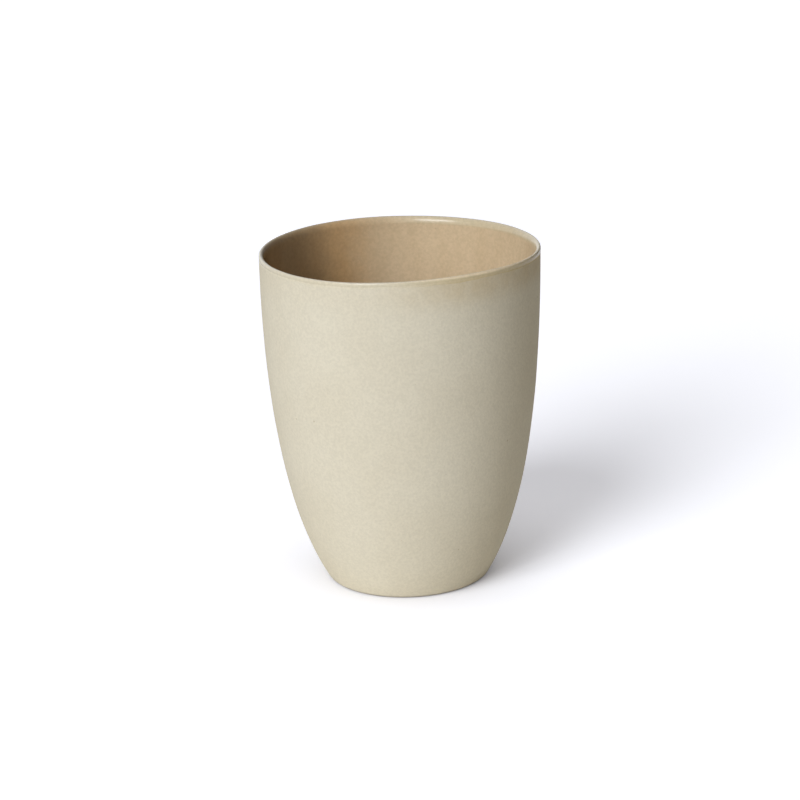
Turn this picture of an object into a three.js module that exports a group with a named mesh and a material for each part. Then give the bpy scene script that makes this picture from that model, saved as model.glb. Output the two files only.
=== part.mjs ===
// Ceramic beaker: a clay body that is bare outside, with a clear glaze over its inside and its lip.
// Millimetres, +Z up. The origin is at the centre of the foot, on the surface that the beaker stands on.
import * as THREE from "three";

const { clamp, degToRad, lerp, smoothstep } = THREE.MathUtils;

// Overall form
const HEIGHT = 110; // from the table to the top of the glazed lip
const RIM_DIAMETER = 90; // outside of the bare clay, where the outer round of the lip begins
const FOOT_DIAMETER = 51; // outside of the flat ring that the beaker stands on
const FOOT_FLARE = degToRad(30.5); // lean of the wall from upright where it leaves the foot
const FOOT_SWEEP = 25; // how strongly the wall's curve holds that lean
const RIM_SWEEP = 49; // how strongly the wall's curve holds its upright end

// Foot and underside
const FOOT_CORNER_RADIUS = 1.6; // round between the standing ring and the wall
const STANDING_RING_WIDTH = 5;
const DISH_DEPTH = 1; // height of the dished underside at its centre

// Clay
const WALL_THICKNESS = 3;
const LIP_THICKNESS = 2; // where the lip's inner round begins
const LIP_CREST_INSET = 0.4; // from the outside to the crest, which parts a tight outer round from a wide inner one
const LIP_OUTER_ROUND = 0.8; // height of the outer round
const LIP_INNER_ROUND = 2; // height of the inner round
const LIP_TAPER_HEIGHT = 40; // stretch below the lip over which the wall thins
const FLOOR_THICKNESS = 4.5; // over the centre of the dish
const FLOOR_CORNER_RADIUS = 9; // round between the floor and the inside of the wall

// Glaze
const GLAZE_THICKNESS = 0.3;
const GLAZE_POOL_DEPTH = 0.8; // where it gathered on the floor
const GLAZE_LAP = 2; // how far below the top of the lip it ends outside
const GLAZE_EDGE_LENGTH = 1.4; // stretch over which it rounds off to that edge

// Steps along each stretch of the profile, and around the beaker
const DISH_STEPS = 5;
const FOOT_CORNER_STEPS = 4;
const WALL_STEPS = 12;
const LAP_STEPS = 4;
const LIP_OUTER_STEPS = 3;
const LIP_INNER_STEPS = 4;
const FLOOR_CORNER_STEPS = 6;
const TURN_STEPS = 64;
const HALVINGS = 50; // when a place on the wall's curve is searched for

const clayMaterial = new THREE.MeshStandardMaterial({ color: 0xd8d1bc, roughness: 0.95, metalness: 0 });
const glazeMaterial = new THREE.MeshStandardMaterial({ color: 0xbda47f, roughness: 0.15, metalness: 0 });

// A profile is drawn with x as the radius and y as the height
const QUARTER_TURN = Math.PI / 2;
const UPWARDS = new THREE.Vector2(0, 1);

// Direction at an angle, counted from pointing away from the axis
function direction(angle) {
  return new THREE.Vector2(Math.cos(angle), Math.sin(angle));
}

function pointOnArc(centre, radius, angle) {
  return centre.clone().addScaledVector(direction(angle), radius);
}

// Evenly spaced values from first to last, both included
function spaced(first, last, steps) {
  return Array.from({ length: steps + 1 }, (_, step) => lerp(first, last, step / steps));
}

// Outside of the wall: one curve from the round of the foot to the round of the lip
const footCornerCentre = new THREE.Vector2(FOOT_DIAMETER / 2, FOOT_CORNER_RADIUS);
const wallStart = pointOnArc(footCornerCentre, FOOT_CORNER_RADIUS, -FOOT_FLARE);
const crest = new THREE.Vector2(RIM_DIAMETER / 2 - LIP_CREST_INSET, HEIGHT - GLAZE_THICKNESS);
const wallEnd = crest.clone().add(new THREE.Vector2(LIP_CREST_INSET, -LIP_OUTER_ROUND));
const wallLine = new THREE.CubicBezierCurve(
  wallStart,
  wallStart.clone().addScaledVector(direction(QUARTER_TURN - FOOT_FLARE), FOOT_SWEEP),
  wallEnd.clone().addScaledVector(UPWARDS, -RIM_SWEEP),
  wallEnd,
);

// Direction out of the wall's outer face, at a share of the curve from 0 at the foot to 1 at the lip
function wallNormal(share) {
  const tangent = wallLine.getTangent(share);
  return new THREE.Vector2(tangent.y, -tangent.x);
}

// Share of the curve at which a value that rises along the wall reaches a level
function shareWhere(valueAt, level) {
  let low = 0;
  let high = 1;
  for (let halving = 0; halving < HALVINGS; halving++) {
    const middle = (low + high) / 2;
    if (valueAt(middle) < level) {
      low = middle;
    } else {
      high = middle;
    }
  }
  return low;
}

// Inside of the wall: the outside set in by the clay, which thins towards the lip
function innerWallPoint(share) {
  const outside = wallLine.getPoint(share);
  const belowLip = crest.y - LIP_INNER_ROUND - outside.y;
  const thickness = lerp(LIP_THICKNESS, WALL_THICKNESS, smoothstep(belowLip, 0, LIP_TAPER_HEIGHT));
  return outside.addScaledVector(wallNormal(share), -thickness);
}

// Centre of a round that touches the inside of the wall there
function floorCornerCentre(share) {
  return innerWallPoint(share).addScaledVector(wallNormal(share), -FLOOR_CORNER_RADIUS);
}

const floorHeight = DISH_DEPTH + FLOOR_THICKNESS;
const floorCornerHeight = floorHeight + FLOOR_CORNER_RADIUS;
const floorCornerShare = shareWhere((share) => floorCornerCentre(share).y, floorCornerHeight);
const lipInnerShare = shareWhere((share) => innerWallPoint(share).y, crest.y - LIP_INNER_ROUND);
const glazeEdgeHeight = HEIGHT - GLAZE_LAP;
const glazeEdgeShare = shareWhere((share) => wallLine.getPoint(share).y, glazeEdgeHeight);

// Outside the lip the glaze thins to nothing at its edge, with a rounded section
function lapThickness(height) {
  const emptiness = 1 - clamp((height - glazeEdgeHeight) / GLAZE_EDGE_LENGTH, 0, 1);
  return GLAZE_THICKNESS * Math.sqrt(1 - emptiness ** 2);
}

// Place on a round of the lip, which is a quarter of an ellipse below the crest
function lipPlace(across, height, angle) {
  const toward = direction(angle);
  const side = Math.abs(across);
  const point = new THREE.Vector2(toward.x * side, (toward.y - 1) * height).add(crest);
  const normal = new THREE.Vector2(toward.x * height, toward.y * side).normalize();
  return { point, normal, depth: across > 0 ? lapThickness(point.y) : GLAZE_THICKNESS };
}

// Places along the face that clay and glaze share, from the centre of the floor to the glaze's edge:
// each is a point, the direction out of the clay and the depth of glaze
function glazedPlaces() {
  const floorCentre = UPWARDS.clone().multiplyScalar(floorHeight);
  const floor = { point: floorCentre, normal: UPWARDS, depth: GLAZE_POOL_DEPTH };
  const cornerCentre = floorCornerCentre(floorCornerShare);
  const cornerNormal = wallNormal(floorCornerShare);
  const cornerEnd = Math.atan2(cornerNormal.y, cornerNormal.x);
  const corner = spaced(0, 1, FLOOR_CORNER_STEPS).map((step) => {
    const angle = lerp(-QUARTER_TURN, cornerEnd, step);
    return {
      point: pointOnArc(cornerCentre, FLOOR_CORNER_RADIUS, angle),
      normal: direction(angle).negate(),
      depth: lerp(GLAZE_POOL_DEPTH, GLAZE_THICKNESS, step),
    };
  });
  const wall = spaced(floorCornerShare, lipInnerShare, WALL_STEPS).map((share) => ({
    point: innerWallPoint(share),
    normal: wallNormal(share).negate(),
    depth: GLAZE_THICKNESS,
  }));
  const lipInside = LIP_CREST_INSET - LIP_THICKNESS;
  const innerRound = spaced(Math.PI, QUARTER_TURN, LIP_INNER_STEPS).map((angle) =>
    lipPlace(lipInside, LIP_INNER_ROUND, angle),
  );
  const outerRound = spaced(QUARTER_TURN, 0, LIP_OUTER_STEPS).map((angle) =>
    lipPlace(LIP_CREST_INSET, LIP_OUTER_ROUND, angle),
  );
  const lap = spaced(1, glazeEdgeShare, LAP_STEPS).map((share) => ({
    point: wallLine.getPoint(share),
    normal: wallNormal(share),
    depth: lapThickness(wallLine.getPoint(share).y),
  }));
  return [floor, ...corner, ...wall.slice(1, -1), ...innerRound, ...outerRound.slice(1), ...lap.slice(1)];
}

// Bare clay, from the centre of the dished underside to just below the glaze's edge
function bareClayPoints() {
  const ringInside = FOOT_DIAMETER / 2 - STANDING_RING_WIDTH;
  const dishRadius = (ringInside ** 2 + DISH_DEPTH ** 2) / (2 * DISH_DEPTH);
  const dishCentre = UPWARDS.clone().multiplyScalar(DISH_DEPTH - dishRadius);
  const dish = spaced(0, ringInside, DISH_STEPS).map((radius) => {
    const height = dishCentre.y + Math.sqrt(dishRadius ** 2 - radius ** 2);
    return new THREE.Vector2(radius, height);
  });
  const footCorner = spaced(-QUARTER_TURN, -FOOT_FLARE, FOOT_CORNER_STEPS).map((angle) =>
    pointOnArc(footCornerCentre, FOOT_CORNER_RADIUS, angle),
  );
  const wall = spaced(0, glazeEdgeShare, WALL_STEPS).map((share) => wallLine.getPoint(share));
  return [...dish, ...footCorner, ...wall.slice(1, -1)];
}

// Solid of revolution from a profile that starts and ends on the axis, with the solid on its left
function turned(name, profile, material) {
  const mesh = new THREE.Mesh(new THREE.LatheGeometry(profile, TURN_STEPS), material);
  mesh.name = name;
  mesh.rotation.x = QUARTER_TURN;
  return mesh;
}

const places = glazedPlaces();
const sharedPoints = places.map((place) => place.point);
const glazePoints = places.map((place) => place.point.clone().addScaledVector(place.normal, place.depth));
const clayProfile = [...bareClayPoints(), ...sharedPoints.toReversed()];
const glazeProfile = [...sharedPoints, ...glazePoints.slice(0, -1).toReversed()];

const beaker = new THREE.Group();
beaker.add(turned("clay_body", clayProfile, clayMaterial));
beaker.add(turned("glaze_lining", glazeProfile, glazeMaterial));

export default beaker;
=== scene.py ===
"""Ceramic beaker on a white studio floor.

The beaker is a turned clay body, bare and matt outside, with a clear glaze that lines its inside, rolls over
the lip and ends in a wavering edge just below it. Metres, +Z up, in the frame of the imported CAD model.
"""

import logging
import math
from dataclasses import dataclass, field
from enum import Enum
from functools import cached_property

import bpy
from mathutils import Matrix, Vector


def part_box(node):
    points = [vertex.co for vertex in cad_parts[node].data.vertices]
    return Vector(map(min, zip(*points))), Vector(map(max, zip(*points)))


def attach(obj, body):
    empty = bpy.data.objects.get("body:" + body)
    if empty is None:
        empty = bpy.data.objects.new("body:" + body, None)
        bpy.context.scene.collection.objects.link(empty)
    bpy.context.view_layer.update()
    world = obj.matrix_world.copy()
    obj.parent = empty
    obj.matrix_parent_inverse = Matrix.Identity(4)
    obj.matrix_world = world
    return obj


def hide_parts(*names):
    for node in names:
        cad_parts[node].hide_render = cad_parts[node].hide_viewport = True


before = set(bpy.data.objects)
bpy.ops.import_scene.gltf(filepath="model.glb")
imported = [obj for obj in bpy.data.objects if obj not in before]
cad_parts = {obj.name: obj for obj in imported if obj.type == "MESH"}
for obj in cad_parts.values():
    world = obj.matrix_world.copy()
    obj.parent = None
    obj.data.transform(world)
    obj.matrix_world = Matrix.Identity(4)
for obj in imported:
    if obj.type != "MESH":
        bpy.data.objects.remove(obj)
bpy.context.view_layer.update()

LOG = logging.getLogger("beaker")
BODY = "root"
MM = 0.001
QUARTER_TURN = math.pi / 2

# Names of the values that the meshes carry
LIP_SHARE = "lip_share"
EDGE_SHARE = "edge_share"
OUT_OF_CLAY = "out_of_clay"
CHART = "UVMap"

Colour = tuple[float, float, float]
Socket = bpy.types.NodeSocket
Value = Socket | float | int | str | tuple[float, ...]

WHITE: Colour = (1.0, 1.0, 1.0)
STRIP_LIGHT: Colour = (0.938, 0.966, 1.024)


class Slot(Enum):
    """Material slots of the record."""

    BARE_CLAY = "bare_clay"
    CLEAR_GLAZE = "clear_glaze"


class SeesBackdrop(Enum):
    """Kinds of ray that meet the white backdrop."""

    CAMERA = "Is Camera Ray"
    GLOSSY = "Is Glossy Ray"
    TRANSMISSION = "Is Transmission Ray"


@dataclass(frozen=True)
class Ramp:
    """A smooth change from one result to another."""

    low: Value = 0.0  # value at which it begins
    high: Value = 1.0  # value at which it ends
    start: float = 0.0  # result up to low
    end: float = 1.0  # result from high on


class Bench:
    """A node tree with short calls for adding and joining nodes."""

    def __init__(self, tree: bpy.types.NodeTree) -> None:
        """Takes over a shader or geometry tree."""
        self.tree = tree

    def add(
        self, kind: str, inputs: dict[str | int, Value] | None = None, **settings: object
    ) -> bpy.types.Node:
        """Adds one node.

        Args:
            kind: Blender's type name of the node.
            inputs: Values or sockets for its inputs, by name or place.
            settings: Properties of the node.

        Returns:
            The new node.
        """
        node = self.tree.nodes.new(kind)
        for name, setting in settings.items():
            setattr(node, name, setting)
        self.fill(node, inputs or {})
        return node

    def fill(self, node: bpy.types.Node, inputs: dict[str | int, Value]) -> None:
        """Joins sockets to a node's inputs, or sets the inputs' own values.

        Args:
            node: The node.
            inputs: Other nodes' outputs, or plain values, by name or place.
        """
        for key, value in inputs.items():
            socket = node.inputs[key]
            if isinstance(value, Socket):
                self.tree.links.new(value, socket)
            elif socket.type == "RGBA":
                socket.default_value = (*value, 1.0)
            else:
                socket.default_value = value

    def calc(self, operation: str, *values: Value) -> Socket:
        """Adds a Math node and gives its output."""
        return self.add("ShaderNodeMath", dict(enumerate(values)), operation=operation).outputs[0]

    def product(self, first: Value, *others: Value) -> Value:
        """Multiplies numbers.

        Args:
            first: The first number.
            others: What it is multiplied by.

        Returns:
            The product.
        """
        for other in others:
            first = self.calc("MULTIPLY", first, other)
        return first

    def vector(self, operation: str, *values: Value) -> Socket:
        """Adds a Vector Math node and gives its output, a number for a length or a dot product."""
        node = self.add("ShaderNodeVectorMath", dict(enumerate(values)), operation=operation)
        return node.outputs["Value" if operation in ("LENGTH", "DOT_PRODUCT") else "Vector"]

    def up(self, place: Value) -> Socket:
        """Gives the height of a place."""
        return self.add("ShaderNodeSeparateXYZ", {0: place}).outputs["Z"]

    def ramp(self, value: Value, ramp: Ramp) -> Socket:
        """Eases a value from one range to another.

        Args:
            value: What is eased.
            ramp: Its range and its results.

        Returns:
            The eased value.
        """
        inputs = {"Value": value, "From Min": ramp.low, "From Max": ramp.high}
        inputs |= {"To Min": ramp.start, "To Max": ramp.end}
        return self.add("ShaderNodeMapRange", inputs, interpolation_type="SMOOTHSTEP").outputs["Result"]

    def noise(self, place: Value, scale: Value, seed: Value, detail: float) -> Socket:
        """Gives noise from 0 to 1, with so many swells in a metre and so many finer layers."""
        inputs = {"Vector": place, "W": seed, "Scale": scale, "Detail": detail}
        return self.add("ShaderNodeTexNoise", inputs, noise_dimensions="4D").outputs[0]

    def tint(self, share: Value, first: Value, second: Value, blend: str = "MIX") -> Socket:
        """Mixes a share of a second colour into a first, where a number's socket counts as a grey."""
        inputs = {0: share, 6: first, 7: second}
        return self.add("ShaderNodeMix", inputs, data_type="RGBA", blend_type=blend).outputs[2]


class Surface(Bench):
    """The node tree of a material."""

    def __init__(self, name: str) -> None:
        """Starts a material.

        Args:
            name: Its name.
        """
        self.material = bpy.data.materials.new(name)
        self.material.use_nodes = True
        super().__init__(self.material.node_tree)

    @cached_property
    def place(self) -> Socket:
        """Gives the place that is shaded, in metres."""
        return self.add("ShaderNodeTexCoord").outputs["Object"]

    @cached_property
    def level(self) -> Socket:
        """Gives the height of that place."""
        return self.up(self.place)

    @cached_property
    def off_axis(self) -> Socket:
        """Gives that place without its height."""
        return self.vector("MULTIPLY", self.place, (1.0, 1.0, 0.0))

    def facing(self, angle: float) -> Socket:
        """Gives the cosine of the angle between the place and a direction, seen from above."""
        side = (math.cos(angle), math.sin(angle), 0.0)
        return self.vector("DOT_PRODUCT", self.vector("NORMALIZE", self.off_axis), side)

    def share(self, name: str) -> Socket:
        """Reads a share that the mesh carries."""
        return self.add("ShaderNodeAttribute", attribute_name=name).outputs["Fac"]

    def bump(self, relief: Value) -> Socket:
        """Gives the normals of a relief whose height is in metres."""
        inputs = {"Strength": 1.0, "Distance": 1.0, "Height": relief}
        return self.add("ShaderNodeBump", inputs).outputs[0]

    def finished(self, looks: dict[str, Value]) -> bpy.types.Material:
        """Gives the looks to the shader and hands over the material."""
        self.fill(self.tree.nodes["Principled BSDF"], looks)
        return self.material


@dataclass(frozen=True)
class Noise:
    """Unevenness of one size."""

    size: float  # length of one swell
    seed: float  # which noise it is
    detail: float = 3.0  # number of finer layers
    ramp: Ramp | None = None  # how it is eased, if it is

    def at(self, bench: Bench, place: Value) -> Socket:
        """Gives the noise at a place."""
        noise = bench.noise(place, 1.0 / self.size, self.seed, self.detail)
        return bench.ramp(noise, self.ramp) if self.ramp else noise


@dataclass(frozen=True)
class Specks:
    """Sparse dark spots, such as iron in clay."""

    spacing: float  # size of the cell that may hold one
    radius: float  # size of the largest
    share: float  # how many of the cells hold one
    strength: float  # how much of the spot colour shows
    colour: Colour
    softness: float = 0.4  # width of a spot's soft edge, as a share of the radius

    def over(self, surface: Surface, colour: Value) -> Socket:
        """Puts the specks on a colour.

        Args:
            surface: Where the nodes go.
            colour: The colour under them.

        Returns:
            The speckled colour.
        """
        largest = self.radius / self.spacing
        inputs = {"Vector": surface.place, "Scale": 1.0 / self.spacing}
        cells = surface.add("ShaderNodeTexVoronoi", inputs).outputs
        pick = surface.add("ShaderNodeSeparateColor", {0: cells["Color"]}).outputs[0]
        size = surface.ramp(pick, Ramp(1.0 - self.share, 1.0, 0.0, largest))
        within = surface.calc("SUBTRACT", size, cells["Distance"])
        spot = surface.ramp(within, Ramp(0.0, self.softness * largest, 0.0, self.strength))
        return surface.tint(spot, colour, self.colour)


@dataclass(frozen=True)
class Wash:
    """A tint on one side of the beaker, used for painted shade and for the band under the lip."""

    tint: Colour  # what the colour is multiplied by
    upwards: Ramp  # how it sets in with height
    sideways: Ramp  # how it sets in towards its side

    def over(self, surface: Surface, colour: Value, side: Value, uneven: Value = 1.0) -> Socket:
        """Puts the wash on a colour.

        Args:
            surface: Where the nodes go.
            colour: The colour under it.
            side: How far a place lies to its side.
            uneven: How much of it shows at a place.

        Returns:
            The washed colour.
        """
        upper = surface.ramp(surface.level, self.upwards)
        strength = surface.product(upper, surface.ramp(side, self.sideways), uneven)
        return surface.tint(strength, colour, self.tint, "MULTIPLY")


@dataclass(frozen=True)
class ClayFinish:
    """Bare fired clay: matt and fine grained, with faint scraping marks and a few iron specks."""

    colour: Colour = (0.594, 0.552, 0.444)  # the clay
    shade: Colour = (0.576, 0.531, 0.421)  # its darker patches
    patches: Noise = Noise(22 * MM, 3.1, ramp=Ramp(0.32, 0.72))  # where those lie
    foot_colour: Colour = (0.560, 0.516, 0.408)  # a darker tint on the lowest few millimetres of the wall
    foot_fade: Ramp = Ramp(0.0, 7 * MM, 0.75, 0.0)  # how that tint fades with height
    contact_line_colour: Colour = (0.30, 0.27, 0.22)  # painted contact shade: a dark line along the foot's edge, where it meets the table
    contact_line: Ramp = Ramp(0.3 * MM, 1.0 * MM, 0.85, 0.0)  # how that line fades with height
    contact_line_from: Ramp = Ramp(25 * MM, 25.8 * MM)  # how it sets in on the underside, away from the axis
    # The darker, warmer band under the lip
    under_lip_band: Wash = Wash((0.905, 0.83, 0.72), Ramp(98 * MM, 106.5 * MM), Ramp(0.2, 0.9, 0.12, 1.0))
    under_lip_angle: float = math.radians(-25)  # the direction in which it is strongest
    under_lip_patches: Noise = Noise(4 * MM, 8.3, ramp=Ramp(0.3, 0.7, 0.6, 1.0))  # its unevenness
    grain: Noise = Noise(0.75 * MM, 7.7)
    grain_depth: float = 0.08 * MM
    mottle: Ramp = Ramp(0.3, 0.7, 0.945, 1.042)  # what the grain does to the colour
    roughness: Ramp = Ramp(0.3, 0.7, 0.88, 0.97)  # what it does to the roughness
    specular: float = 0.22  # how much the clay shines
    marks: Noise = Noise(1.1 * MM, 11.3, 2.0)  # the scraping marks
    # What draws them out, round the beaker and along its profile
    mark_stretch: tuple[float, float, float] = (0.27, 0.004, 0.0)
    mark_depth: float = 0.012 * MM
    specks: tuple[Specks, ...] = (
        Specks(2.1 * MM, 0.22 * MM, 0.40, 0.5, (0.42, 0.35, 0.24)),
        Specks(5.5 * MM, 0.42 * MM, 0.45, 0.65, (0.34, 0.27, 0.17)),
    )

    def material(self) -> bpy.types.Material:
        """Builds the material.

        Returns:
            The clay's material.
        """
        surface = Surface("bare_clay")
        grain = self.grain.at(surface, surface.place)
        colour = surface.tint(1.0, self.stained(surface), surface.ramp(grain, self.mottle), "MULTIPLY")
        for specks in self.specks:
            colour = specks.over(surface, colour)
        relief = surface.calc("MULTIPLY_ADD", grain, self.grain_depth, self.scraping(surface))
        looks = {
            "Base Color": colour,
            "Roughness": surface.ramp(grain, self.roughness),
            "Specular IOR Level": self.specular,
            "Normal": surface.bump(relief),
        }
        return surface.finished(looks)

    def stained(self, surface: Surface) -> Socket:
        """Colours the clay, with its patches, a darker foot, painted contact shade along the foot's edge and
        the darker band under the lip.

        Args:
            surface: Where the nodes go.

        Returns:
            The colour without grain and specks.
        """
        colour = surface.tint(self.patches.at(surface, surface.place), self.colour, self.shade)
        colour = surface.tint(surface.ramp(surface.level, self.foot_fade), colour, self.foot_colour)
        # Painted contact shade: a dark line along the foot's edge
        off_centre = surface.ramp(surface.vector("LENGTH", surface.off_axis), self.contact_line_from)
        contact_line = surface.product(surface.ramp(surface.level, self.contact_line), off_centre)
        colour = surface.tint(contact_line, colour, self.contact_line_colour)
        uneven = self.under_lip_patches.at(surface, surface.place)
        return self.under_lip_band.over(surface, colour, surface.facing(self.under_lip_angle), uneven)

    def scraping(self, surface: Surface) -> Value:
        """Draws the upright marks that trimming leaves.

        Args:
            surface: Where the nodes go.

        Returns:
            Their height in metres.
        """
        around = surface.add("ShaderNodeUVMap", uv_map=CHART).outputs[0]
        stretched = surface.vector("MULTIPLY", around, self.mark_stretch)
        return surface.product(self.marks.at(surface, stretched), self.mark_depth)


@dataclass(frozen=True)
class GlazeFinish:
    """Clear gloss glaze: the clay shows warmer through it, and paler where it is thin on the lip."""

    colour: Colour = (0.620, 0.477, 0.300)  # inside, over the clay
    streak: Colour = (0.573, 0.432, 0.263)  # where it lies thicker
    streaks: Noise = Noise(11 * MM, 5.2, ramp=Ramp(0.33, 0.70))  # where those streaks lie
    streak_stretch: tuple[float, float, float] = (1.0, 1.0, 0.35)  # what draws them out upwards
    # The direction of the inside's shaded side, where painted shade darkens and warms it
    shaded_side_angle: float = math.radians(176)
    ragged: Noise = Noise(9 * MM, 6.8)  # unevenness of that side's bounds
    raggedness: float = 0.3  # how strong that is
    painted_shade_washes: tuple[Wash, ...] = (
        # Painted warm shade on that side, standing in for light bounced inside the beaker
        Wash((0.97, 0.83, 0.66), Ramp(45 * MM, 88 * MM), Ramp(0.33, 0.72)),
        # Painted shade, darker still deeper into that side
        Wash((0.75, 0.80, 0.87), Ramp(45 * MM, 88 * MM), Ramp(0.66, 0.98)),
        # Painted shade inside the lip away from that side
        Wash((0.86, 0.92, 0.93), Ramp(106.8 * MM, 108.2 * MM), Ramp(-0.1, 0.35, 1.0, 0.0)),
    )
    lip_colour: Colour = (0.555, 0.497, 0.370)  # on the lip and outside it
    edge_colour: Colour = (0.592, 0.544, 0.424)  # along its edge, where it is thin and dry
    dry: Ramp = Ramp(0.0, 0.6)  # how the edge sets in
    run_angle: float = math.radians(-35)  # the direction of the side where it ran over the lip
    run_side: Ramp = Ramp(0.45, 0.95)  # how that sets in towards that side
    stain_colour: Colour = (0.51, 0.42, 0.255)  # on the lip and along the edge on that side
    crest_highlight: Colour = (0.75, 0.62, 0.42)  # painted highlight on top of the lip on that side
    crest: Ramp = Ramp(109.45 * MM, 110.0 * MM)  # how that painted highlight sets in with height
    pits: Noise = Noise(0.9 * MM, 9.4, 2.0)  # its fine unevenness
    pit_depth: float = 0.006 * MM  # height of that
    mottle: Ramp = Ramp(0.3, 0.7, 0.94, 1.05)  # what the pits do to the colour
    roughness: Ramp = Ramp(0.3, 0.7, 0.17, 0.25)  # what they do to the roughness
    edge_roughness: float = 0.5  # how much rougher it is along its edge
    specular: Ramp = Ramp(0.0, 1.0, 0.5, 0.15)  # how much it shines, from the gloss to the edge
    peel: Noise = Noise(3.2 * MM, 2.6, 1.0)  # its slow unevenness
    peel_depth: float = 0.035 * MM  # height of that
    # Specks that show through it
    specks: Specks = Specks(6.5 * MM, 0.35 * MM, 0.30, 0.22, (0.26, 0.18, 0.09))

    def material(self) -> bpy.types.Material:
        """Builds the material.

        Returns:
            The glaze's material.
        """
        surface = Surface("clear_glaze")
        pits = self.pits.at(surface, surface.place)
        dry = surface.ramp(surface.share(EDGE_SHARE), self.dry)
        colour = self.over_lip(surface, dry, self.inside(surface))
        colour = surface.tint(1.0, colour, surface.ramp(pits, self.mottle), "MULTIPLY")
        rough = surface.ramp(pits, self.roughness)
        peel = surface.product(self.peel.at(surface, surface.place), self.peel_depth)
        relief = surface.calc("MULTIPLY_ADD", pits, self.pit_depth, peel)
        looks = {
            "Base Color": self.specks.over(surface, colour),
            "Roughness": surface.calc("MULTIPLY_ADD", dry, self.edge_roughness, rough),
            "Specular IOR Level": surface.ramp(dry, self.specular),
            "Normal": surface.bump(relief),
        }
        return surface.finished(looks)

    def inside(self, surface: Surface) -> Socket:
        """Colours the inside, with its streaks and painted shade: warm and dark on its shaded side, darker
        inside the lip away from it.

        Args:
            surface: Where the nodes go.

        Returns:
            The colour inside.
        """
        drawn_out = surface.vector("MULTIPLY", surface.place, self.streak_stretch)
        colour = surface.tint(self.streaks.at(surface, drawn_out), self.colour, self.streak)
        ragged = self.ragged.at(surface, surface.place)
        side = surface.calc("MULTIPLY_ADD", ragged, self.raggedness, surface.facing(self.shaded_side_angle))
        # Painted shade on the shaded side and inside the lip
        for wash in self.painted_shade_washes:
            colour = wash.over(surface, colour, side)
        return colour

    def over_lip(self, surface: Surface, dry: Value, inside: Value) -> Socket:
        """Colours the lip and the edge below it, with a painted highlight on top of the lip on the side
        where the glaze ran.

        Args:
            surface: Where the nodes go.
            dry: How far a place belongs to the dry edge.
            inside: The colour inside.

        Returns:
            The colour of the whole coat.
        """
        ran = surface.ramp(surface.facing(self.run_angle), self.run_side)
        # Painted highlight on top of the lip, on the side where the glaze ran
        crest = surface.ramp(surface.level, self.crest)
        stain_and_highlight = surface.tint(crest, self.stain_colour, self.crest_highlight)
        lip_colour = surface.tint(ran, self.lip_colour, stain_and_highlight)
        edge_colour = surface.tint(ran, self.edge_colour, self.stain_colour)
        colour = surface.tint(surface.share(LIP_SHARE), inside, lip_colour)
        return surface.tint(dry, colour, edge_colour)


@dataclass(frozen=True)
class Place:
    """One ring of a turned piece, as a point of its profile."""

    point: Vector  # radius and height
    normal: Vector  # direction out of the clay there
    depth: float = 0.0  # how far out of the clay the ring is set
    edge: float = 0.0  # share of the glaze edge's wavering that it takes
    lip: float = 0.0  # how far it belongs to the lip

    def ring(self) -> Vector:
        """Gives the ring's radius and height as X and Z."""
        at = self.point + self.normal * self.depth
        return Vector((at.x, 0.0, at.y))

    def set_to(self, depth: float) -> "Place":
        """Gives the same place at another depth."""
        return Place(self.point, self.normal, depth, self.edge, self.lip)


def spaced(first: float, last: float, steps: int) -> list[float]:
    """Gives evenly spaced values, both ends included."""
    return [first + (last - first) * step / steps for step in range(steps + 1)]


def limited(value: float) -> float:
    """Keeps a share between 0 and 1."""
    return min(max(value, 0.0), 1.0)


def ease(value: float) -> float:
    """Eases a share from 0 to 1."""
    share = limited(value)
    return share * share * (3.0 - 2.0 * share)


def direction(angle: float) -> Vector:
    """Gives the direction at an angle, counted from pointing away from the axis."""
    return Vector((math.cos(angle), math.sin(angle)))


@dataclass(frozen=True)
class Steps:
    """Number of steps along each stretch of a piece's profile, or 0 where it has none."""

    lip: int  # over the lip
    inside: int  # down the inside of the wall
    corner: int  # round the edge of the floor
    floor: int  # across the floor
    dish: int = 0  # along the dished underside
    ring: int = 0  # across the standing ring
    foot: int = 0  # round the edge of the foot
    wall: int = 0  # up the outside of the wall
    lap: int = 0  # up the glaze outside the lip


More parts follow.
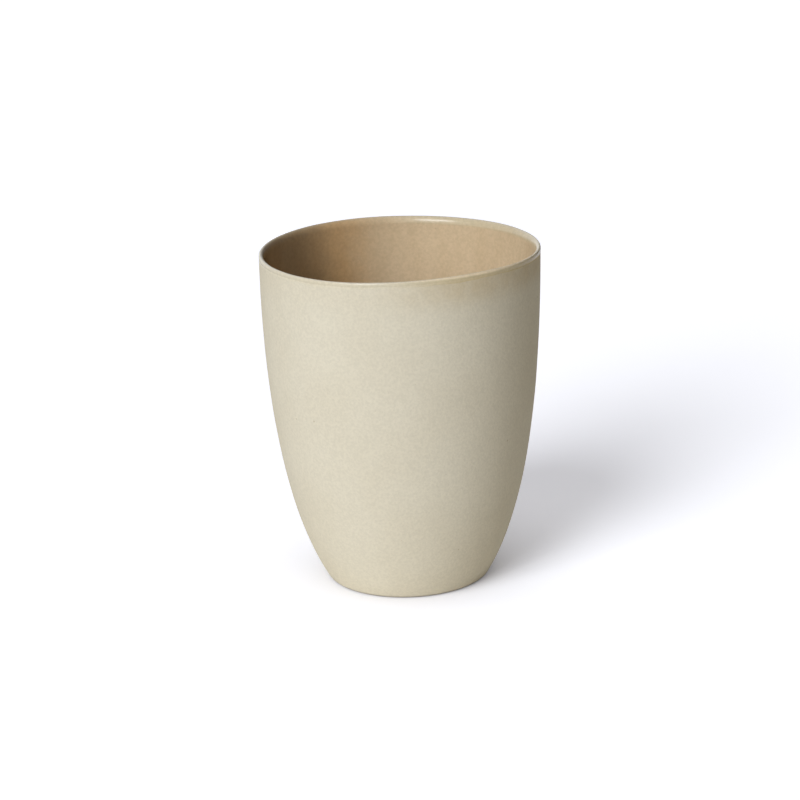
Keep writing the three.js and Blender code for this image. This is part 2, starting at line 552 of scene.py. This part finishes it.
@dataclass
class Form:
    """The beaker's profile, with the sizes of the part."""

    height: float  # from the table to the top of the glazed lip
    rim_radius: float  # outside of the bare clay at the lip
    foot_radius: float = 25.5 * MM  # outside of the standing ring
    foot_flare: float = math.radians(30.5)  # lean of the wall from upright where it leaves the foot
    foot_sweep: float = 25 * MM  # how strongly the wall's curve holds that lean
    rim_sweep: float = 49 * MM  # how strongly it holds its upright end
    foot_corner: float = 1.6 * MM  # radius between the standing ring and the wall
    ring_width: float = 5 * MM
    dish_depth: float = 1 * MM  # height of the dished underside at its centre
    wall: float = 3 * MM  # thickness of the clay
    lip: float = 1.65 * MM  # its thickness where the lip's inner round begins
    crest_inset: float = 0.4 * MM  # from the outside to the crest of the lip
    outer_round: float = 0.8 * MM  # height of the lip's outer round
    inner_round: float = 2.3 * MM  # height of its inner round
    lip_taper: float = 40 * MM  # stretch below the lip over which the wall thins
    lip_from: float = math.radians(75)  # angle over the lip at which its colour begins to fade
    lip_fade: float = math.radians(55)  # angle over which it fades
    floor: float = 4.5 * MM  # thickness of the floor over the centre of the dish
    floor_corner: float = 9 * MM  # radius between the floor and the wall
    glaze: float = 0.3 * MM  # thickness of the glaze
    lap_glaze: float = 0.08 * MM  # its thickness outside the lip
    glaze_pool: float = 0.8 * MM  # its depth on the floor
    glaze_lap: float = 2.0 * MM  # how far below the top of the lip it ends outside
    glaze_edge: float = 1.4 * MM  # stretch over which it rounds off to that edge
    halvings: int = 50  # number of steps when a place on the wall is searched for
    corner_centre: Vector = field(init=False)  # centre of the foot's round
    crest: Vector = field(init=False)  # top of the clay
    handles: tuple[Vector, Vector, Vector, Vector] = field(init=False)  # the four points of the wall's curve

    def __post_init__(self) -> None:
        """Draws the outside of the wall as one curve."""
        self.corner_centre = Vector((self.foot_radius, self.foot_corner))
        start = self.corner_centre + direction(-self.foot_flare) * self.foot_corner
        self.crest = Vector((self.rim_radius - self.crest_inset, self.height - self.glaze))
        end = self.crest + Vector((self.crest_inset, -self.outer_round))
        lower = start + direction(QUARTER_TURN - self.foot_flare) * self.foot_sweep
        upper = end - Vector((0.0, self.rim_sweep))
        self.handles = (start, lower, upper, end)

    def wall_place(self, share: float) -> Place:
        """Finds a place on the outside of the wall.

        Args:
            share: From 0 at the foot to 1 at the lip.

        Returns:
            The place, with its direction out of the clay.
        """
        a, b, c, d = self.handles
        rest = 1.0 - share
        point = a * rest**3 + b * (3 * rest * rest * share) + c * (3 * rest * share * share) + d * share**3
        along = (b - a) * (rest * rest) + (c - b) * (2 * rest * share) + (d - c) * (share * share)
        along.normalize()
        return Place(point, Vector((along.y, -along.x)))

    def inner_place(self, share: float) -> Place:
        """Finds a place on the inside of the wall.

        Args:
            share: From 0 at the foot to 1 at the lip.

        Returns:
            The place, with its direction out of the clay.
        """
        outside = self.wall_place(share)
        below_lip = self.crest.y - self.inner_round - outside.point.y
        thickness = self.lip + (self.wall - self.lip) * ease(below_lip / self.lip_taper)
        return Place(outside.point - outside.normal * thickness, -outside.normal, self.glaze)

    def inner_share(self, level: float, set_in: float) -> float:
        """Finds where a line set in from the inside of the wall reaches a level.

        Args:
            level: Height that it reaches.
            set_in: How far it is set in.

        Returns:
            Share of the wall's curve there.
        """
        low, high = 0.0, 1.0
        for _ in range(self.halvings):
            middle = (low + high) / 2
            place = self.inner_place(middle)
            if (place.point + place.normal * set_in).y < level:
                low = middle
            else:
                high = middle
        return low

    def floor_corner_share(self) -> float:
        """Finds where the round of the floor leaves the wall."""
        return self.inner_share(self.dish_depth + self.floor + self.floor_corner, self.floor_corner)

    def underside(self, steps: Steps) -> list[Place]:
        """Draws the dished underside, the standing ring and the round of the foot.

        Args:
            steps: Number of steps along each.

        Returns:
            The places, from the axis to the wall.
        """
        inside = self.foot_radius - self.ring_width
        radius = (inside**2 + self.dish_depth**2) / (2 * self.dish_depth)
        down = Vector((0.0, -1.0))
        dish = [
            Place(Vector((r, self.dish_depth - radius + math.sqrt(radius**2 - r**2))), down)
            for r in spaced(0.0, inside, steps.dish)
        ]
        ring = [Place(Vector((r, 0.0)), down) for r in spaced(inside, self.foot_radius, steps.ring)]
        corner = [
            Place(self.corner_centre + direction(angle) * self.foot_corner, direction(angle))
            for angle in spaced(-QUARTER_TURN, -self.foot_flare, steps.foot)
        ]
        return [*dish, *ring[1:-1], *corner]

    def outside(self, steps: int) -> list[Place]:
        """Draws the outside of the wall, from the foot to the lip."""
        return [self.wall_place(share) for share in spaced(0.0, 1.0, steps)]

    def lap(self, steps: int) -> list[Place]:
        """Draws the glaze outside the lip, which thins to nothing at its edge.

        Args:
            steps: Number of steps along it.

        Returns:
            The places, from the edge up.
        """
        low = self.height - self.glaze_lap
        high = self.crest.y - self.outer_round
        out = Vector((1.0, 0.0))
        places = []
        for height in spaced(low, high, steps):
            emptiness = 1.0 - limited((height - low) / self.glaze_edge)
            depth = self.lap_glaze * (1.0 - emptiness**2)
            edge = 1.0 - ease((height - low) / (high - low))
            places.append(Place(Vector((self.rim_radius, height)), out, depth, edge, 1.0))
        return places

    def over_lip(self, steps: int) -> list[Place]:
        """Draws the round of the lip, a quarter of an ellipse on each side of the crest.

        Args:
            steps: Number of steps along it.

        Returns:
            The places, from outside to inside.
        """
        places = []
        for angle in spaced(0.0, math.pi, steps):
            toward = direction(angle)
            outer = angle < QUARTER_TURN
            width = self.crest_inset if outer else self.lip - self.crest_inset
            height = self.outer_round if outer else self.inner_round
            point = self.crest + Vector((toward.x * width, (toward.y - 1.0) * height))
            normal = Vector((toward.x * height, toward.y * width)).normalized()
            depth = self.lap_glaze + (self.glaze - self.lap_glaze) * ease(angle / QUARTER_TURN)
            lip = 1.0 - ease((angle - self.lip_from) / self.lip_fade)
            places.append(Place(point, normal, depth, 0.0, lip))
        return places

    def down_inside(self, steps: int) -> list[Place]:
        """Draws the inside of the wall, from the lip to the round of the floor."""
        first = self.inner_share(self.crest.y - self.inner_round, 0.0)
        return [self.inner_place(share) for share in spaced(first, self.floor_corner_share(), steps)]

    def over_floor(self, steps: Steps) -> list[Place]:
        """Draws the round of the floor and the floor.

        Args:
            steps: Number of steps along each.

        Returns:
            The places, from the wall to the axis.
        """
        leaving = self.inner_place(self.floor_corner_share())
        centre = leaving.point + leaving.normal * self.floor_corner
        start = math.atan2(-leaving.normal.y, -leaving.normal.x)
        corner = []
        for step in spaced(0.0, 1.0, steps.corner):
            out = direction(start + (-QUARTER_TURN - start) * step)
            depth = self.glaze + (self.glaze_pool - self.glaze) * step
            corner.append(Place(centre + out * self.floor_corner, -out, depth))
        level = self.dish_depth + self.floor
        up = Vector((0.0, 1.0))
        radii = spaced(centre.x, 0.0, steps.floor)[1:]
        return [*corner, *(Place(Vector((r, level)), up, self.glaze_pool) for r in radii)]


@dataclass(frozen=True)
class Warp:
    """One wave that firing left in the rim."""

    waves: int  # number of crests round the rim
    rise: float  # height of the crests
    crest: float  # direction of the first crest


@dataclass
class Wheel(Bench):
    """The Geometry Nodes tree that turns a profile about the axis and puts it slightly out of true."""

    height: float  # height of the beaker
    steps: int = 288  # number of steps round it
    waver: float = 0.05 * MM  # depth of the slow unevenness of its faces
    waver_size: float = 16 * MM  # length of one swell of it
    edge_waver: float = 0.45 * MM  # how far the glaze's edge rises and falls
    edge_size: float = 9 * MM  # length of one swell of that edge
    seed: float = 4.0
    drift: float = 0.52 * MM  # how far the rim stands off the foot's axis, along X
    sinking: float = 0.2 * MM  # how far the rim sank as a whole
    warps: tuple[Warp, ...] = (  # waves of the rim
        Warp(2, 0.33 * MM, math.radians(118.7)),
        Warp(3, 0.13 * MM, math.radians(57.4)),
        Warp(4, 0.10 * MM, math.radians(29.2)),
    )
    seat: float = 0.06  # share of the height over which the unevenness sets in above the table
    warp_from: float = 0.5  # share of the height at which the waves set in
    drift_power: float = 4.0  # how late up the wall the drift sets in
    edge_seed: float = 20.0  # what is added to the seed for the edge
    swell_detail: float = 1.5  # number of finer layers of the unevenness
    swell_gain: float = 4.0  # what the noise is stretched by, to reach from about -1 to 1
    weld: float = 2e-7  # distance within which points become one
    crease: float = math.radians(70)  # angle from which an edge stays sharp
    given: bpy.types.NodeOutputs = field(init=False)  # the tree's inputs
    # Identifier of each input by name
    sockets: dict[str, str] = field(init=False, default_factory=dict)

    def __post_init__(self) -> None:
        """Builds the tree."""
        super().__init__(bpy.data.node_groups.new("turned_on_the_wheel", "GeometryNodeTree"))
        self.tree.is_modifier = True
        kinds = {"Profile": "NodeSocketGeometry"}
        kinds |= {name: "NodeSocketFloat" for name in self.sizes()}
        kinds |= {"Steps": "NodeSocketInt", "Material": "NodeSocketMaterial"}
        for name, kind in kinds.items():
            socket = self.tree.interface.new_socket(name, in_out="INPUT", socket_type=kind)
            self.sockets[name] = socket.identifier
        self.tree.interface.new_socket("Piece", in_out="OUTPUT", socket_type="NodeSocketGeometry")
        self.given = self.add("NodeGroupInput").outputs
        self.wire()

    def sizes(self) -> dict[str, float | int]:
        """Gives the tree's named sizes.

        Returns:
            Value of each input by name.
        """
        sizes: dict[str, float | int] = {
            "Steps": self.steps,
            "Height": self.height,
            "Waver": self.waver,
            "Waver size": self.waver_size,
            "Edge waver": self.edge_waver,
            "Edge size": self.edge_size,
            "Seed": self.seed,
            "Drift": self.drift,
            "Sinking": self.sinking,
        }
        for warp in self.warps:
            sizes[f"Rise of {warp.waves} waves"] = warp.rise
            sizes[f"Crest of {warp.waves} waves"] = warp.crest
        return sizes

    def at_row(self, row: Value, kind: str, name: str) -> Socket:
        """Reads a named value of the profile at a row.

        Args:
            row: Number of the row.
            kind: Blender's name of the value's type.
            name: Name of the value.

        Returns:
            The value at the row.
        """
        named = self.add("GeometryNodeInputNamedAttribute", {"Name": name}, data_type=kind)
        inputs = {"Geometry": self.given["Profile"], "Value": named.outputs["Attribute"], "Index": row}
        return self.add("GeometryNodeSampleIndex", inputs, data_type=kind).outputs["Value"]

    def swell(self, place: Value, size: Value, seed: Value) -> Socket:
        """Gives slow noise between about -1 and 1."""
        noise = self.noise(place, self.calc("DIVIDE", 1.0, size), seed, self.swell_detail)
        return self.calc("MULTIPLY_ADD", noise, self.swell_gain, -self.swell_gain / 2)

    def about_axis(self, arm: Value, angle: Value) -> Socket:
        """Turns a vector about the axis."""
        inputs = {"Vector": arm, "Angle": angle}
        return self.add("ShaderNodeVectorRotate", inputs, rotation_type="Z_AXIS").outputs[0]

    def rim_lift(self, angle: Value) -> Socket:
        """Adds up the waves of the rim.

        Args:
            angle: Angle round the axis.

        Returns:
            How far the rim rises there.
        """
        lift = self.calc("MULTIPLY", self.given["Sinking"], -1.0)
        for warp in self.warps:
            past = self.calc("SUBTRACT", angle, self.given[f"Crest of {warp.waves} waves"])
            wave = self.calc("COSINE", self.product(past, float(warp.waves)))
            lift = self.calc("MULTIPLY_ADD", wave, self.given[f"Rise of {warp.waves} waves"], lift)
        return lift

    def shift(self, place: Value, angle: Value, edge: Value) -> Socket:
        """Finds how far the rim's waves, its drift and the wavering of the glaze's edge move a place.

        Args:
            place: The place.
            angle: Its angle round the axis.
            edge: Its share of the wavering.

        Returns:
            The move.
        """
        given = self.given
        full = given["Height"]
        level = self.up(place)
        upper = self.ramp(level, Ramp(self.product(full, self.warp_from), full))
        rise = self.product(self.rim_lift(angle), upper)
        edge_seed = self.calc("ADD", given["Seed"], self.edge_seed)
        run = self.product(self.swell(place, given["Edge size"], edge_seed), given["Edge waver"], edge)
        up_wall = self.calc("POWER", self.calc("DIVIDE", level, full), self.drift_power)
        aside = self.product(up_wall, given["Drift"])
        return self.add("ShaderNodeCombineXYZ", {"X": aside, "Z": self.calc("ADD", rise, run)}).outputs[0]

    def wire(self) -> None:
        """Adds the nodes that turn the profile."""
        # A grid with a row for each place of the profile, and a column for each step round the axis
        given = self.given
        inputs = {"Geometry": given["Profile"]}
        rows = self.add("GeometryNodeAttributeDomainSize", inputs).outputs["Point Count"]
        columns = self.calc("ADD", given["Steps"], 1.0)
        grid = self.add("GeometryNodeMeshGrid", {"Vertices X": columns, "Vertices Y": rows}).outputs
        here = self.add("GeometryNodeInputPosition").outputs[0]
        flat = self.add("ShaderNodeSeparateXYZ", {0: here}).outputs
        half = 0.5  # of the grid's sides, which lie about its middle
        across, along = (self.calc("ADD", flat[axis], half) for axis in ("X", "Y"))
        angle = self.product(across, math.tau)
        row = self.calc("ROUND", self.product(along, self.calc("SUBTRACT", rows, 1.0)))

        # The profile turned about the axis and put out of true
        place = self.about_axis(self.at_row(row, "FLOAT_VECTOR", "position"), angle)
        outwards = self.about_axis(self.at_row(row, "FLOAT_VECTOR", OUT_OF_CLAY), angle)
        edge = self.at_row(row, "FLOAT", EDGE_SHARE)
        lip = self.at_row(row, "FLOAT", LIP_SHARE)
        off_table = self.ramp(self.up(place), Ramp(0.0, self.product(given["Height"], self.seat)))
        swell = self.swell(place, given["Waver size"], given["Seed"])
        depth = self.product(swell, given["Waver"], off_table)
        moved = self.vector("ADD", place, self.vector("MULTIPLY", outwards, depth))
        moved = self.vector("ADD", moved, self.shift(place, angle, edge))

        # Marked, closed and dressed
        mesh = grid["Mesh"]
        marks = (
            (CHART, grid["UV Map"], "FLOAT2", "CORNER"),
            (LIP_SHARE, lip, "FLOAT", "POINT"),
            (EDGE_SHARE, edge, "FLOAT", "POINT"),
        )
        for name, value, kind, domain in marks:
            inputs = {"Geometry": mesh, "Name": name, "Value": value}
            store = self.add("GeometryNodeStoreNamedAttribute", inputs, data_type=kind, domain=domain)
            mesh = store.outputs[0]
        stages = (
            ("GeometryNodeSetPosition", {"Position": moved}),
            ("GeometryNodeMergeByDistance", {"Distance": self.weld}),
            ("GeometryNodeSetShadeSmooth", {}),
            ("GeometryNodeRealizeInstances", {}),
            ("GeometryNodeSetMaterial", {"Material": given["Material"]}),
        )
        for kind, inputs in stages:
            mesh = self.add(kind, {0: mesh} | inputs).outputs[0]
        self.add("NodeGroupOutput", {0: mesh})

    def turn(self, name: str, places: list[Place], material: bpy.types.Material) -> bpy.types.Object:
        """Turns a profile into a piece.

        Args:
            name: Name of the piece.
            places: Its profile, with the solid on its left.
            material: Its material.

        Returns:
            The piece, a plain mesh at the origin.
        """
        profile = bpy.data.meshes.new(f"{name}_profile")
        edges = [(row, row + 1) for row in range(len(places) - 1)]
        profile.from_pydata([place.ring() for place in places], edges, [])
        outs = [part for place in places for part in (place.normal.x, 0.0, place.normal.y)]
        profile.attributes.new(OUT_OF_CLAY, "FLOAT_VECTOR", "POINT").data.foreach_set("vector", outs)
        marks = {EDGE_SHARE: [place.edge for place in places], LIP_SHARE: [place.lip for place in places]}
        for mark, shares in marks.items():
            profile.attributes.new(mark, "FLOAT", "POINT").data.foreach_set("value", shares)
        piece = bpy.data.objects.new(name, profile)
        bpy.context.collection.objects.link(piece)
        modifier = piece.modifiers.new("wheel", "NODES")
        modifier.node_group = self.tree
        for size, value in self.sizes().items():
            modifier[self.sockets[size]] = value
        modifier[self.sockets["Material"]] = material
        made = piece.evaluated_get(bpy.context.evaluated_depsgraph_get())
        mesh = bpy.data.meshes.new_from_object(made)
        piece.modifiers.clear()
        piece.data = mesh
        mesh.name = name
        mesh.set_sharp_from_angle(angle=self.crease)
        bpy.data.meshes.remove(profile)
        return piece


@dataclass
class TurnedPiece:
    """A piece that the wheel turns."""

    form: Form  # the beaker's profile
    finish: ClayFinish | GlazeFinish  # its surface
    name: str  # its name in the scene
    node: str  # the node that it replaces
    slot: Slot
    steps: Steps  # number of steps along its profile

    def profile(self) -> list[Place]:
        """Draws the profile."""
        raise NotImplementedError

    def shared_face(self) -> list[Place]:
        """Draws the face that clay and glaze share.

        Returns:
            The places, from just past the lip's outer end to the centre of the floor.
        """
        lip = self.form.over_lip(self.steps.lip)
        inside = self.form.down_inside(self.steps.inside)
        floor = self.form.over_floor(self.steps)
        return [*lip[1:], *inside[1:], *floor[1:]]

    def build(self, wheel: Wheel) -> bpy.types.Object:
        """Turns the piece and gives it to the frame.

        Args:
            wheel: What turns it.

        Returns:
            The piece.
        """
        piece = wheel.turn(self.name, self.profile(), self.finish.material())
        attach(piece, BODY)
        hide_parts(self.node)
        return piece


@dataclass
class ClayBody(TurnedPiece):
    """The clay body."""

    finish: ClayFinish = ClayFinish()
    name: str = "turned_clay"
    node: str = "clay_body"
    slot: Slot = Slot.BARE_CLAY
    steps: Steps = Steps(lip=10, inside=30, corner=8, floor=4, dish=12, ring=4, foot=10, wall=96)

    def profile(self) -> list[Place]:
        """Draws the profile.

        Returns:
            The places, from the centre of the underside round to the centre of the floor.
        """
        bare = [*self.form.underside(self.steps), *self.form.outside(self.steps.wall)[1:]]
        return bare + [Place(place.point, place.normal) for place in self.shared_face()]


@dataclass
class GlazeLining(TurnedPiece):
    """The glaze inside and over the lip."""

    finish: GlazeFinish = GlazeFinish()
    name: str = "glaze_coat"
    node: str = "glaze_lining"
    slot: Slot = Slot.CLEAR_GLAZE
    steps: Steps = Steps(lip=18, inside=60, corner=14, floor=8, lap=14)
    sink: float = 0.06 * MM  # how far its back is let into the clay, so that no gap shows at its edge

    def profile(self) -> list[Place]:
        """Draws the profile.

        Returns:
            The places, out along the back and home along the front.
        """
        face = self.form.lap(self.steps.lap) + self.shared_face()
        back = [place.set_to(-self.sink) for place in reversed(face)]
        return back + face[1:]


def backdrop_rays(bench: Bench) -> tuple[Value, Socket]:
    """Tells the rays that see the backdrop from those that light the object.

    Args:
        bench: Where the nodes go.

    Returns:
        1 for a ray that sees the backdrop and 0 otherwise, and the same for one that gloss mirrors.
    """
    path = bench.add("ShaderNodeLightPath").outputs
    seen: Value = 0.0
    for kind in SeesBackdrop:
        seen = bench.calc("MAXIMUM", seen, path[kind.value])
    return seen, path[SeesBackdrop.GLOSSY.value]


@dataclass(frozen=True)
class Lamp:
    """A large soft lamp that stands far off."""

    name: str
    azimuth: float  # direction that it stands in, in degrees
    elevation: float  # its height above the horizon, in degrees
    width: float  # angle that it fills, in degrees
    strength: float
    colour: Colour = STRIP_LIGHT
    mirrored: bool = False  # whether gloss shows it

    def hang(self, middle: Vector) -> None:
        """Sets the lamp.

        Args:
            middle: What it shines at.
        """
        light = bpy.data.lights.new(self.name, "SUN")
        light.energy = self.strength
        light.angle = math.radians(self.width)
        light.color = self.colour
        lamp = bpy.data.objects.new(self.name, light)
        lamp.visible_glossy = self.mirrored
        bpy.context.collection.objects.link(lamp)
        level, up = direction(math.radians(self.elevation))
        towards = Vector((*(direction(math.radians(self.azimuth)) * level), up))
        lamp.rotation_euler = towards.to_track_quat("Z", "Y").to_euler()
        lamp.location = middle + towards


@dataclass
class Studio:
    """Floor, backdrop, lamps and camera."""

    middle: Vector  # what the camera looks at
    distance: float = 775.5 * MM  # from there to the camera
    elevation: float = math.radians(17.62)  # of the camera above the horizon
    roll: float = math.radians(-2.0)  # how far the camera is turned about its line of sight
    lens: float = 106.9  # focal length in millimetres
    sensor: float = 36.0  # width of the picture in the camera in millimetres
    # Shift of the frame, right and up, in widths of the picture
    shift: tuple[float, float] = (-0.004525, 0.0134875)
    # The lamps, strips one above the other in front and to the left, and one overhead
    lamps: tuple[Lamp, ...] = (
        Lamp("strip_low", 238, 15, 22, 0.98),
        Lamp("strip_left", 228, 29, 18, 0.67, mirrored=True),
        Lamp("strip_right", 244, 29, 18, 0.67, mirrored=True),
        Lamp("strip_high", 235, 48, 24, 1.10),
        Lamp("overhead", 235, 90, 60, 0.16, WHITE),
    )
    # Strength of the light from the walls all round, which fades upwards
    wall_light: Ramp = Ramp(0.15, 0.5, 0.06, 0.0)
    wall_colour: Colour = (1.0, 0.82, 0.60)
    # What gloss shows of the walls, from the left to the right
    gloss_light: Ramp = Ramp(-0.15, 0.32, 1.4, 0.2)
    floor_colour: Colour = (0.94, 0.91, 0.85)  # colour of the floor where it lights the object
    seen_colour: Colour = (0.925, 0.918, 0.925)  # its colour where it is seen
    floor_bounce: float = 0.208  # how much it glows for rays that light the object
    bounce_colour: Colour = (1.0, 0.88, 0.66)
    floor_glow: float = 0.575  # how much it glows for rays that see it
    glow_colour: Colour = (0.88, 0.88, 0.93)
    floor_mirror: float = 0.4  # how much of that is left for rays that gloss mirrors
    contact_reach: float = 50 * MM  # how far from the floor a thing still shades it
    contact_shade: float = 0.8  # how much of the glow it can take away
    contact_dim: float = 0.25  # how much of the seen colour it can take away
    floor_size: float = 12.0  # length of the floor's sides
    floor_gap: float = 0.02 * MM  # how far the floor lies below the foot, so that the two don't share a face

    def build(self) -> None:
        """Sets up everything round the object."""
        self.lay_floor()
        self.hang_backdrop()
        for lamp in self.lamps:
            lamp.hang(self.middle)
        self.aim()
        bpy.context.scene.view_settings.view_transform = "Standard"

    def lay_floor(self) -> None:
        """Lays the floor under the beaker."""
        half = self.floor_size / 2
        corners = [(x * half, y * half, -self.floor_gap) for x, y in ((-1, -1), (1, -1), (1, 1), (-1, 1))]
        mesh = bpy.data.meshes.new("floor")
        mesh.from_pydata(corners, [], [(0, 1, 2, 3)])
        floor = bpy.data.objects.new("floor", mesh)
        bpy.context.collection.objects.link(floor)
        mesh.materials.append(self.floor_material())

    def floor_material(self) -> bpy.types.Material:
        """Builds the floor's material, which glows and is shaded near what stands on it.

        Returns:
            The material.
        """
        surface = Surface("white_floor")
        seen, mirrored = backdrop_rays(surface)
        clear = surface.add("ShaderNodeAmbientOcclusion", {"Distance": self.contact_reach}).outputs["AO"]
        dimmed = surface.ramp(clear, Ramp(start=1.0 - self.contact_dim))
        seen_colour = surface.tint(1.0, self.seen_colour, dimmed, "MULTIPLY")
        glow = surface.product(
            surface.ramp(seen, Ramp(start=self.floor_bounce, end=self.floor_glow)),
            surface.ramp(mirrored, Ramp(start=1.0, end=self.floor_mirror)),
            surface.ramp(clear, Ramp(start=1.0 - self.contact_shade)),
        )
        looks = {
            "Base Color": surface.tint(seen, self.floor_colour, seen_colour),
            "Roughness": 1.0,
            "Specular IOR Level": 0.0,
            "Emission Color": surface.tint(seen, self.bounce_colour, self.glow_colour),
            "Emission Strength": glow,
        }
        return surface.finished(looks)

    def hang_backdrop(self) -> None:
        """Makes the world white where it is seen, and soft where it lights the object."""
        world = bpy.data.worlds.new("white_room")
        world.use_nodes = True
        bpy.context.scene.world = world
        bench = Bench(world.node_tree)
        seen, mirrored = backdrop_rays(bench)
        towards = bench.add("ShaderNodeTexCoord").outputs["Generated"]
        parts = bench.add("ShaderNodeSeparateXYZ", {0: towards}).outputs
        soft = bench.ramp(parts["Z"], self.wall_light)
        shown = bench.ramp(parts["X"], self.gloss_light)
        bright = bench.add("ShaderNodeMix", {0: mirrored, 2: seen, 3: shown}).outputs[0]
        looks = {
            "Color": bench.tint(seen, self.wall_colour, WHITE),
            "Strength": bench.calc("MAXIMUM", soft, bright),
        }
        bench.fill(world.node_tree.nodes["Background"], looks)

    def aim(self) -> None:
        """Sets the camera where the photograph was taken from."""
        camera = bpy.data.cameras.new("camera")
        camera.lens = self.lens
        camera.sensor_width = self.sensor
        camera.shift_x, camera.shift_y = self.shift
        stand = bpy.data.objects.new("camera", camera)
        bpy.context.collection.objects.link(stand)
        back = Vector((0.0, -math.cos(self.elevation), math.sin(self.elevation)))
        place = Matrix.Translation(self.middle + back * self.distance)
        tilt = Matrix.Rotation(QUARTER_TURN - self.elevation, 4, "X")
        stand.matrix_world = place @ tilt @ Matrix.Rotation(self.roll, 4, "Z")
        bpy.context.scene.camera = stand


def report(piece: bpy.types.Object) -> None:
    """Logs a piece's name and size.

    Args:
        piece: The piece.
    """
    mesh = piece.data
    mesh.calc_loop_triangles()
    LOG.info("%s: %d triangles, %.4f m high", piece.name, len(mesh.loop_triangles), piece.dimensions.z)


def main() -> None:
    """Builds the beaker and the studio."""
    logging.basicConfig(level=logging.INFO, format="%(name)s: %(message)s")
    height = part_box("glaze_lining")[1][2]
    rim_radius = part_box("clay_body")[1][0]
    form = Form(height, rim_radius)
    wheel = Wheel(height)
    report(ClayBody(form).build(wheel))
    report(GlazeLining(form).build(wheel))
    Studio(middle=Vector((0.0, 0.0, height / 2))).build()


if __name__ == "__main__":
    main()
